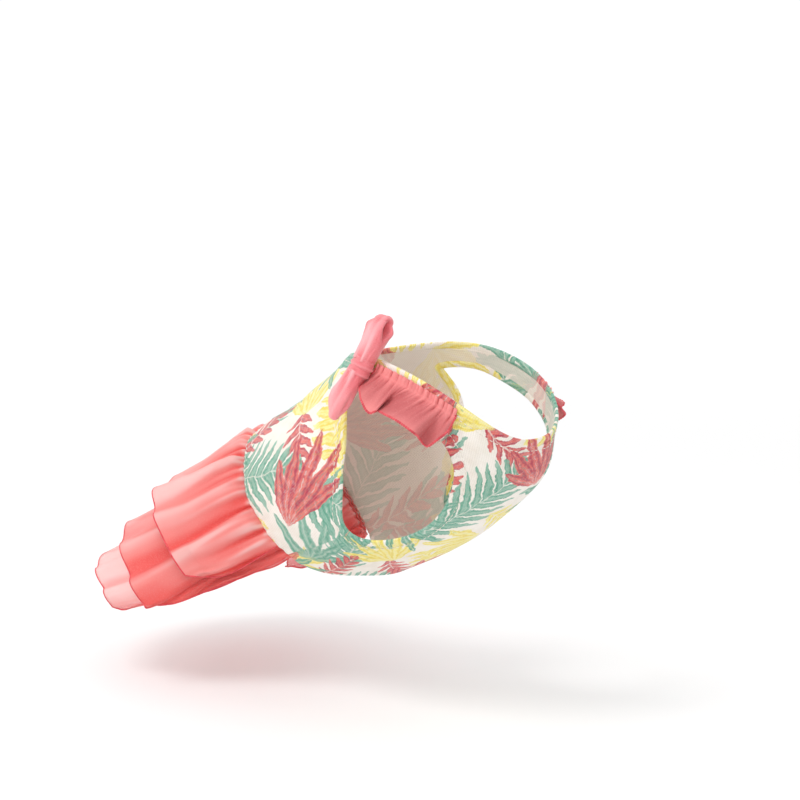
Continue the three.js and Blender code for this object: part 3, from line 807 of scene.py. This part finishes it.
def bodice_panel(part, start, end, hem_at, cols, rows):
    """Panel between two turns in degrees, from its hem to the neckline, open at the leg holes."""
    turn = np.radians(np.linspace(start, end, cols))[None, :]
    share = np.linspace(0, 1, rows)[:, None]
    hem = hem_at(turn)
    along = hem + (PANEL_END - hem) * share
    degrees = np.degrees(np.broadcast_to(turn, along.shape))
    beyond = degrees > 180
    grid = np.stack([along * 100, np.where(beyond, 360 - degrees, np.abs(degrees))], -1)
    within = inside(grid, HOLE)
    cut = within[:-1, :-1] | within[:-1, 1:] | within[1:, 1:] | within[1:, :-1]
    # Vertices next to the hole move onto its edge.
    touched = np.zeros_like(within)
    for dj, di in ((0, 0), (0, 1), (1, 0), (1, 1)):
        corner = touched[dj : dj + rows - 1, di : di + cols - 1]
        corner |= cut
    beside = touched & ~within
    gap = np.linalg.norm((grid[beside][:, None] - HOLE[None]) * PLACE_SIZE, axis=-1)
    close = gap.min(1)[:, None] < HOLE_SNAP
    grid[beside] = np.where(close, HOLE[gap.argmin(1)], grid[beside])
    moved = np.radians(grid[..., 1])
    turn = np.where(beyond, 2 * math.pi - moved, moved * np.sign(degrees))
    along = grid[..., 0] / 100
    mid = lifted(along, turn, PANEL_LIFT + knit_lift(along, both_sides(turn)))
    # The cloth's own coordinates: the run round each station from the middle, and the run along the midline.
    middle = cols // 2
    spine = run_along(mid[:, middle])[-1]
    up = spine - (1 - along) / (1 - hem_at(turn[:1, middle : middle + 1])) * spine
    uv = np.stack([from_middle(mid), up], -1) / CLOTH_UNIT + PRINT_START[part]
    CUTS[part] = (along, turn, uv)
    inner = {"inner": np.repeat([1.0, 0.0], cols * rows)}
    return cloth("knit_" + part, mid, PANEL_WALL, uv, KNIT, ~cut, inner)


def print_place(along, turn, nearest=3):
    """The print's own coordinates at places on the bodice, taken from the panel that lies there."""
    degrees = np.degrees(turn) % 360
    chest = (degrees > SIDE_SEAM) & (degrees < 360 - SIDE_SEAM)
    to_sides = np.where(degrees > 180, degrees - 360, degrees)
    found = np.zeros((*along.shape, 2))
    for part, here, round_it in (("back_panel", ~chest, to_sides), ("chest_panel", chest, degrees)):
        if not here.any():
            continue
        grid_along, grid_turn, grid_uv = CUTS[part]
        at = np.stack([along[here] * 100, round_it[here]], -1)
        known = np.stack([grid_along.ravel() * 100, np.degrees(grid_turn).ravel()], -1)
        gap = np.linalg.norm((at[:, None] - known[None]) * PLACE_SIZE, axis=-1)
        order = np.argpartition(gap, nearest, axis=1)[:, :nearest]
        weight = 1 / (np.take_along_axis(gap, order, 1) + 0.02) ** 2
        uv = grid_uv.reshape(-1, 2)[order]
        found[here] = (uv * weight[..., None]).sum(1) / weight.sum(1)[:, None]
    return found


def binding_uv(along, turn):
    """Lets a binding's section carry the print on from the panel beside it."""
    start = print_place(along, turn)
    ahead, around, _ = trunk_frame(along, turn)
    point = trunk(along, turn)

    def place(points):
        off = points - point[:, None]
        step = np.stack([(off * around[:, None]).sum(-1), (off * ahead[:, None]).sum(-1)], -1)
        return start[:, None] + step / CLOTH_UNIT

    return place


def own(obj, node, slot, *more):
    """Attaches a piece and the small pieces on it to the root body, and hides the imported part named node.
    slot is not used.
    """
    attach(obj, "root")
    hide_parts(node)
    for other in more:
        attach(other, "root")
    return obj


back_panel = bodice_panel("back_panel", -SIDE_SEAM, SIDE_SEAM, waist_hem, 200, 90)
own(back_panel, "back_panel", "printed_knit")
chest_panel = bodice_panel("chest_panel", SIDE_SEAM + 0.03, 360 - SIDE_SEAM - 0.03, belly_hem, 110, 90)
own(chest_panel, "chest_panel", "printed_knit")


def binding(name, along, turn, way, half_width, inset, lift, slow, quick):
    """Band of knit of an uneven thickness along an edge; way points from the cloth into the opening."""
    out = trunk_frame(along, turn)[2]
    centre = trunk(along, turn) + out * lift + way * inset
    share = np.arange(len(turn)) / len(turn) * 2 * math.pi
    swell = 1 + 0.05 * np.sin(share * slow) + 0.04 * np.sin(share * quick + 1)
    thick = out * (BINDING_HALF_THICKNESS * swell)[:, None]
    return tube(name, centre, way * half_width, thick, 16, True, KNIT, binding_uv(along, turn), 0.75)


def leg_edge(side, word):
    """Binding and stitches of one leg hole."""
    along, turn = HOLE[:, 0] / 100, side * np.radians(HOLE[:, 1])
    point = trunk(along, turn)
    out = trunk_frame(along, turn)[2]
    way = unit(np.roll(point, -1, axis=0) - np.roll(point, 1, axis=0))
    inwards = unit(np.cross(out, way)) * -side
    wrinkle = knit_lift(along, turn)[:, None]
    lift = BINDING_LIFT + wrinkle
    band = binding("knit_leg_binding_" + word, along, turn, inwards, 2.15, 1.9, lift, 37, 61)
    line = point + out * (STITCH_LIFT + wrinkle) - inwards * 1.4
    thread = stitches("leg_stitches_" + word, closed(line), closed(out), STITCH)
    own(band, "leg_binding_" + word, "printed_knit", thread)
    return [band, thread]


def neck_edge():
    """Binding and stitches of the neckline."""
    turn = circle(260)
    ahead, _, out = trunk_frame(1.0, turn)
    ends = np.ones_like(turn)
    band = binding("knit_neck_binding", ends, turn, ahead, 2.25, 2.0, BINDING_LIFT, 43, 71)
    line = lifted(NECK_SEAM, turn, STITCH_LIFT + knit_lift(NECK_SEAM, both_sides(turn)))
    thread = stitches("neck_stitches", closed(line), closed(out), STITCH)
    own(band, "neck_binding", "printed_knit", thread)
    return [band, thread]


edges = [*leg_edge(-1, "right"), *leg_edge(1, "left"), *neck_edge()]


# Skirt


def tier_mid(tier, down, turn):
    """Middle of a tier's cloth, and the painted light and shade in its colour at each place: painted
    highlights on raised folds, gathers and faces turned to the upper left, painted shade in the creases and
    towards the front ends.
    """
    out = -frame_of(skirt_lie, down, turn, 0.2, 0.01)[2]
    below = np.maximum(0, down)
    swell = fold_height(down, turn, tier["broad"])
    crease, painted_highlight = crease_depth(below, turn, tier["length"])
    near_end = smooth((np.abs(turn) - 1.75) / 0.25)
    tuck = smooth(1 - down / 3.0)
    fine = ripple(turn, down, 31, FINE_GATHERS) * np.exp(-below / 15)
    wide = ripple(turn, down, 32, WIDE_GATHERS) * np.exp(-below / 26) * smooth(down / 6)
    folds = ripple(turn, down, 40 + tier["seed"], OWN_FOLDS) * smooth(down / 45)
    crumple = ripple(turn, down, 50 + tier["seed"], CRUMPLES) * near_end * smooth(down / 8)
    shape = fine * (1 - 0.45 * tuck) + wide + folds + crumple - tier["crease"] * crease
    puff = tier["puff"] * smooth(down / 7) * np.exp(-below / 30)
    lift = lerp(tier["waist"], tier["hem"], (below / tier["length"]) ** 1.3)
    lift = lift + tier["folds"] * swell + shape - tuck * 0.9 + puff
    # Painted light from the upper left: faces turned that way get a painted highlight, the others painted
    # shade.
    facing = out @ unit(np.array([-0.25, 0.1, 0.96]))
    light = 0.42 + tier["light"] - tier["end_shade"] * near_end
    light = light + 0.5 * shape / 2.6 + 0.3 * painted_highlight + 0.3 * fine
    light = light + 0.3 * (swell / 5.0 - 0.5) * smooth(down / 12)
    light = light + 0.55 * (facing - 0.4) * (0.25 + 0.75 * smooth(down / 18))
    return skirt_lie(down, turn) + out * lift[..., None], light


def open_rim(grid, first):
    """Line down one side of a grid from a first row, along its last row and up the other side."""
    return np.concatenate([grid[first:, 0], grid[-1, 1:-1], grid[first:, -1][::-1]])


def skirt_tier(tier, cols=330, rows=74):
    """One tier of chiffon and its rolled hem."""
    word = tier["word"]
    v = np.linspace(0, 1, rows)[:, None]
    u = np.linspace(-1, 1, cols)[None, :]
    down = lerp(-1.8, tier["length"], v**1.15) + 0 * u
    rng = np.random.default_rng(tier["seed"])
    end = np.radians(column(SKIRT, "down", "end", down))
    corner = 1 - 0.06 * np.clip((v - 0.7) / 0.3, 0, 1) ** 3
    mid, light = tier_mid(tier, down, u * end * tier["reach"] * corner)
    uv = np.stack([from_middle(mid), down], -1) / CLOTH_UNIT + rng.uniform(0, 1, 2)
    values = {"painted_light": np.tile(light.ravel(), 2), "cover": np.full(2 * rows * cols, tier["cover"])}
    made = cloth("chiffon_tier_" + word, mid, CHIFFON_WALL, uv, CHIFFON, None, values)
    rim = resampled(open_rim(mid, 8), 0.7)
    hem = edge_tube("chiffon_hem_" + word, rim, 0.42, HEM, 0.06)
    own(made, "skirt_tier_" + word, "chiffon", hem)
    return made, hem


def waist_stitches():
    turn = np.radians(np.linspace(0.5 - SIDE_SEAM, SIDE_SEAM - 0.5, 300))
    hem = waist_hem(turn)
    line = lifted(hem + 0.012, turn, 1.5 + knit_lift(hem, turn))
    thread = stitches("waist_stitches", line, trunk_frame(hem + 0.012, turn)[2], STITCH)
    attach(thread, "root")
    return thread


tiers = [skirt_tier(tier) for tier in TIERS]
waist_thread = waist_stitches()


# Ruffles


def shoulder_ruffle(side, word, cols=300, rows=40):
    """Gathered strip from the neckline's edge over the shoulder, whose hem swings in laid-over folds."""
    u = np.linspace(0, 1, cols)[None, :] + np.zeros((rows, 1))
    v = np.linspace(-RUFFLE_HEADER, 1, rows)[:, None] + np.zeros((1, cols))
    low = np.maximum(v, 0.0)
    header = np.maximum(-v, 0.0)
    degrees = lerp(lerp(*RUFFLE_ENDS, u), column(RUFFLE_HEM, "share", "turn", u), low**0.9)
    turn = side * np.radians(degrees)
    ahead, _, out = trunk_frame(NECK_SEAM, turn)
    way = out * math.sin(RUFFLE_LEAN) - ahead * math.cos(RUFFLE_LEAN)
    rise = out * math.cos(RUFFLE_LEAN) + ahead * math.sin(RUFFLE_LEAN)
    width = column(RUFFLE_HEM, "share", "width", u)
    height = column(RUFFLE_HEM, "share", "rise", u) * low**1.1
    fine = ripple(u * 45, v, 60 + side, [(0.5, 1.5, 0.5), (0.4, 2.3, -0.8), (0.25, 3.6, 0.6)])
    gather = fine * np.exp(-low * 2.6) * (0.35 + 0.65 * smooth(np.abs(v) * 8))
    sag = ripple(u * 9, v * 3, 64 + side, [(0.75, 1.3, 0.9), (0.6, 2.1, -1.2)]) * low
    point = lifted(NECK_SEAM, turn, 2.7) + way * (width * low)[..., None]
    point = point + rise * (height + gather + sag)[..., None] + ahead * (header * 20)[..., None]
    uv = np.stack([run_across(point), width * v], -1) / CLOTH_UNIT
    # Painted light: painted highlight on raised folds, by the neck seam, on gathers and in a band across the
    # first fold; painted shade where the folds dip.
    light = 0.15 + 0.07 * height * low + 0.55 * np.exp(-low * 4.0) + 0.25 * gather
    light = light + 0.3 * np.exp(-(((u - 0.27) / 0.05) ** 2)) * low
    values = {"painted_light": np.tile(light.ravel(), 2)}
    made = cloth("jersey_ruffle_" + word, point, JERSEY_WALL, uv, RUFFLE, None, values)
    rim = resampled(open_rim(point, 4), 0.3)
    serge = edge_tube("ruffle_serging_" + word, rim, 0.6, SERGE, 0.2)
    own(made, "shoulder_ruffle_" + word, "ruffle_jersey", serge)
    return made, serge


ruffles = [shoulder_ruffle(-1, "right"), shoulder_ruffle(1, "left")]


# Bow

KNOT = lifted(np.array(NECK_SEAM), np.array(KNOT_TURN), np.array(KNOT_LIFT))
BOW_WAY = unit(np.subtract(LOOPS["bow_loop_left"]["bend"], LOOPS["bow_loop_right"]["bend"]).astype(float))
KNOT_ACROSS = unit(BOW_WIDTH_WAY - BOW_WAY * (BOW_WIDTH_WAY @ BOW_WAY))
KNOT_UP = np.cross(BOW_WAY, KNOT_ACROSS)


def bow_loop(name, row, cols=170, rows=44):
    """A soft band from the knot, round its tip and back. Its two layers lie close together at the knot and
    part in a hollow near the tip."""
    bend, tip = np.array(row["bend"], float), np.array(row["tip"], float)
    root = unit(bend) * LOOP_ROOT
    share = np.linspace(0, 1, cols)
    leg = np.minimum(1.0, np.minimum(share, 1 - share) / 0.4)
    reach = np.sin(leg * math.pi / 2)
    over = np.clip((share - 0.4) / 0.2, 0, 1)[:, None] * math.pi
    t = reach[:, None]
    spine = root * (1 - t) ** 2 + bend * 2 * t * (1 - t) + tip * t**2
    way = unit((bend - root) * 2 * (1 - t) + (tip - bend) * 2 * t)
    up = unit(np.cross(BOW_WIDTH_WAY, way)) * np.cos(over) + way * np.sin(over)
    across = unit(BOW_WIDTH_WAY - way * (way @ BOW_WIDTH_WAY)[:, None])
    row = {**row, "reach": LOOP_REACH}
    depth, band, width = (column(row, "reach", key, reach)[:, None] for key in ("depth", "band", "width"))
    angle = circle(rows)
    section = signed_power(np.cos(angle), 0.95)[None] + 0 * t
    round_it = np.sin(angle)[None]
    lines = ripple(section, t, row["seed"], [(1.1, 7, 1.5), (0.7, 12, -2)]) * np.exp(-t * 2.2)
    slow = ripple(section, t, row["seed"] + 1, [(0.9, 2.4, 4), (0.6, 4, -6)])
    relief = (lines + 0.5 * slow) * 0.75
    puff = band * round_it + relief
    centre = KNOT + spine + up * depth
    point = centre[:, None] + across[:, None] * (section * width / 2)[..., None]
    point = point + up[:, None] * puff[..., None]
    uv = np.stack(np.broadcast_arrays(run_along(centre)[:, None], angle[None] * 3), -1) / CLOTH_UNIT
    # Painted light: painted highlight on the relief's crests and mid-reach, painted light on the band's up
    # layer and painted shade on the other.
    light = 0.2 + 0.5 * relief + 0.4 * (round_it - 0.4) + 0.2 * np.sin(math.pi * t)
    values = {"painted_light": light.ravel()}
    quads = grid_quads(cols, rows, cols_close=True)
    return mesh_object("knit_" + name, point.reshape(-1, 3), [quads], uv.reshape(-1, 2), BOW, 1.3, values)


def bow_knot(cols=96, rows=48):
    """Band wrapped round the bow's middle, with folds that run round it."""
    a = circle(cols)[:, None]
    v = np.linspace(-1, 1, rows)[None, :]
    round_end = (1 - np.abs(v) ** 3.2) ** 0.42
    folds = 0.34 * np.sin(v * 8 + 0.7 * np.sin(a)) + 0.2 * np.sin(v * 15 + 1.3 * np.sin(a + 1))
    size = 0.82 + 0.18 * round_end
    turned_in = 0.55 + 0.45 * np.where(np.abs(v) > 0.93, (1 - np.abs(v)) / 0.07, 1.0)
    high = np.cos(a) * (KNOT_HALF_HEIGHT * size + folds) * turned_in
    deep = np.sin(a) * (KNOT_HALF_DEPTH * size + folds) * turned_in
    point = KNOT + BOW_WAY * (v * KNOT_HALF_LENGTH + 0 * a)[..., None]
    point = point + KNOT_ACROSS * high[..., None] + KNOT_UP * deep[..., None]
    uv = np.stack([a * 6 + 0 * v, v * 5 + 0 * a], -1) / CLOTH_UNIT
    quads = grid_quads(cols, rows, rows_close=True)[:, ::-1]
    # Painted highlight on the crests of the knot's folds, painted shade in their hollows.
    values = {"painted_light": (0.3 + 0.3 * folds).ravel()}
    return mesh_object("knit_bow_knot", point.reshape(-1, 3), [quads], uv.reshape(-1, 2), BOW, 1.3, values)


loops = {name: own(bow_loop(name, row), name, "bow_knit") for name, row in LOOPS.items()}
knot = own(bow_knot(), "bow_knot", "bow_knit")


# Floor, light and camera

FLOOR_HEIGHT, FLOOR_HALF = -0.177, 12.0
BACKDROP_WAY = (0.743, 0.669, 0.0)
AZIMUTH, ELEVATION = math.radians(48), math.radians(9)
CAMERA_DISTANCE = 1178.0
LENS, SENSOR = 100, 36
PICTURE = 800
# A place on the dress, and the pixel where the photograph shows it.
ANCHOR, ANCHOR_PIXEL = np.array([0.0, 69.0, -44.0]), (268, 428)


def floor_plane():
    """Pale floor, whose glow grows with the distance until it is as white as the backdrop."""
    shade = Shade("floor")
    m, plus, times = shade.math, shade.plus, shade.times
    grain = shade.noise(shade.place(), 40.0, 2.0, 0.5)
    x, y = shade.split(shade.place())
    away = m("SQRT", plus(times(x, x), times(y, y)))
    shade.finish(
        Base_Color=(0.9, 0.9, 0.9, 1),
        Roughness=plus(0.6, times(grain, 0.1)),
        Emission_Color=(1, 1, 1, 1),
        Emission_Strength=plus(0.06, times(shade.step(away, 0.4, 3.0), 0.3)),
    )
    mesh = bpy.data.meshes.new("floor")
    signs = ((-1, -1), (1, -1), (1, 1), (-1, 1))
    corners = [(a * FLOOR_HALF, b * FLOOR_HALF, FLOOR_HEIGHT) for a, b in signs]
    mesh.from_pydata(corners, [], [(0, 1, 2, 3)])
    mesh.materials.append(shade.material)
    made = bpy.data.objects.new("floor", mesh)
    bpy.context.scene.collection.objects.link(made)


def placed(name, data, place, way, axis):
    """Object at a place, with one of its axes along a way."""
    made = bpy.data.objects.new(name, data)
    made.location = place
    made.rotation_mode = "QUATERNION"
    made.rotation_quaternion = way.to_track_quat(axis, "Y")
    bpy.context.scene.collection.objects.link(made)
    return made


def area_light(name, place, size, power, target=(0, 0.02, -0.06)):
    """Round lamp that points at the dress."""
    data = bpy.data.lights.new(name, "AREA")
    data.shape = "DISK"
    data.size = size
    data.energy = power
    placed(name, data, place, Vector(target) - Vector(place), "-Z")


def studio():
    """White behind and overhead, dimmer from the front, with a soft key from the upper left."""
    world = bpy.data.worlds.new("studio")
    bpy.context.scene.world = world
    world.use_nodes = True
    sky = Nodes(world.node_tree)
    way = sky.node("ShaderNodeTexCoord").outputs["Generated"]
    dot = sky.node("ShaderNodeVectorMath", {0: way, 1: BACKDROP_WAY}, operation="DOT_PRODUCT")
    above = sky.node("ShaderNodeSeparateXYZ", {"Vector": way}).outputs[2]
    overhead = sky.math("MULTIPLY", sky.step(above, 0.0, 0.9), 0.9)
    lit = sky.math("MAXIMUM", sky.step(dot.outputs["Value"], -0.7, 0.7), overhead)
    background = next(n for n in world.node_tree.nodes if n.type == "BACKGROUND")
    background.inputs[0].default_value = (1, 1, 1, 1)
    sky.put(background.inputs[1], sky.math("ADD", sky.math("MULTIPLY", lit, 0.62), 0.42))
    area_light("key", (-0.75, 0.1, 1.0), 0.6, 6.0)
    area_light("front", (-1.1, -0.9, 0.5), 0.8, 1.5)


def camera():
    """Long lens, ahead and to the right of the dress, with the anchor at its pixel."""
    level = math.cos(ELEVATION)
    back = np.array([-math.sin(AZIMUTH) * level, -math.cos(AZIMUTH) * level, math.sin(ELEVATION)])
    right = np.array([math.cos(AZIMUTH), -math.sin(AZIMUTH), 0.0])
    up = np.cross(back, right)
    pixel = CAMERA_DISTANCE / (LENS / SENSOR * PICTURE)
    place = (
        ANCHOR
        + back * CAMERA_DISTANCE
        - right * (ANCHOR_PIXEL[0] - PICTURE / 2) * pixel
        - up * (PICTURE / 2 - ANCHOR_PIXEL[1]) * pixel
    )
    data = bpy.data.cameras.new("camera")
    data.lens, data.sensor_width = LENS, SENSOR
    data.clip_start, data.clip_end = 0.05, 50
    made = placed("camera", data, Vector(place.tolist()) * MM, Vector(back.tolist()), "Z")
    bpy.context.scene.camera = made


floor_plane()
studio()
camera()
bpy.context.scene.view_settings.view_transform = "Standard"

bpy.context.view_layer.update()
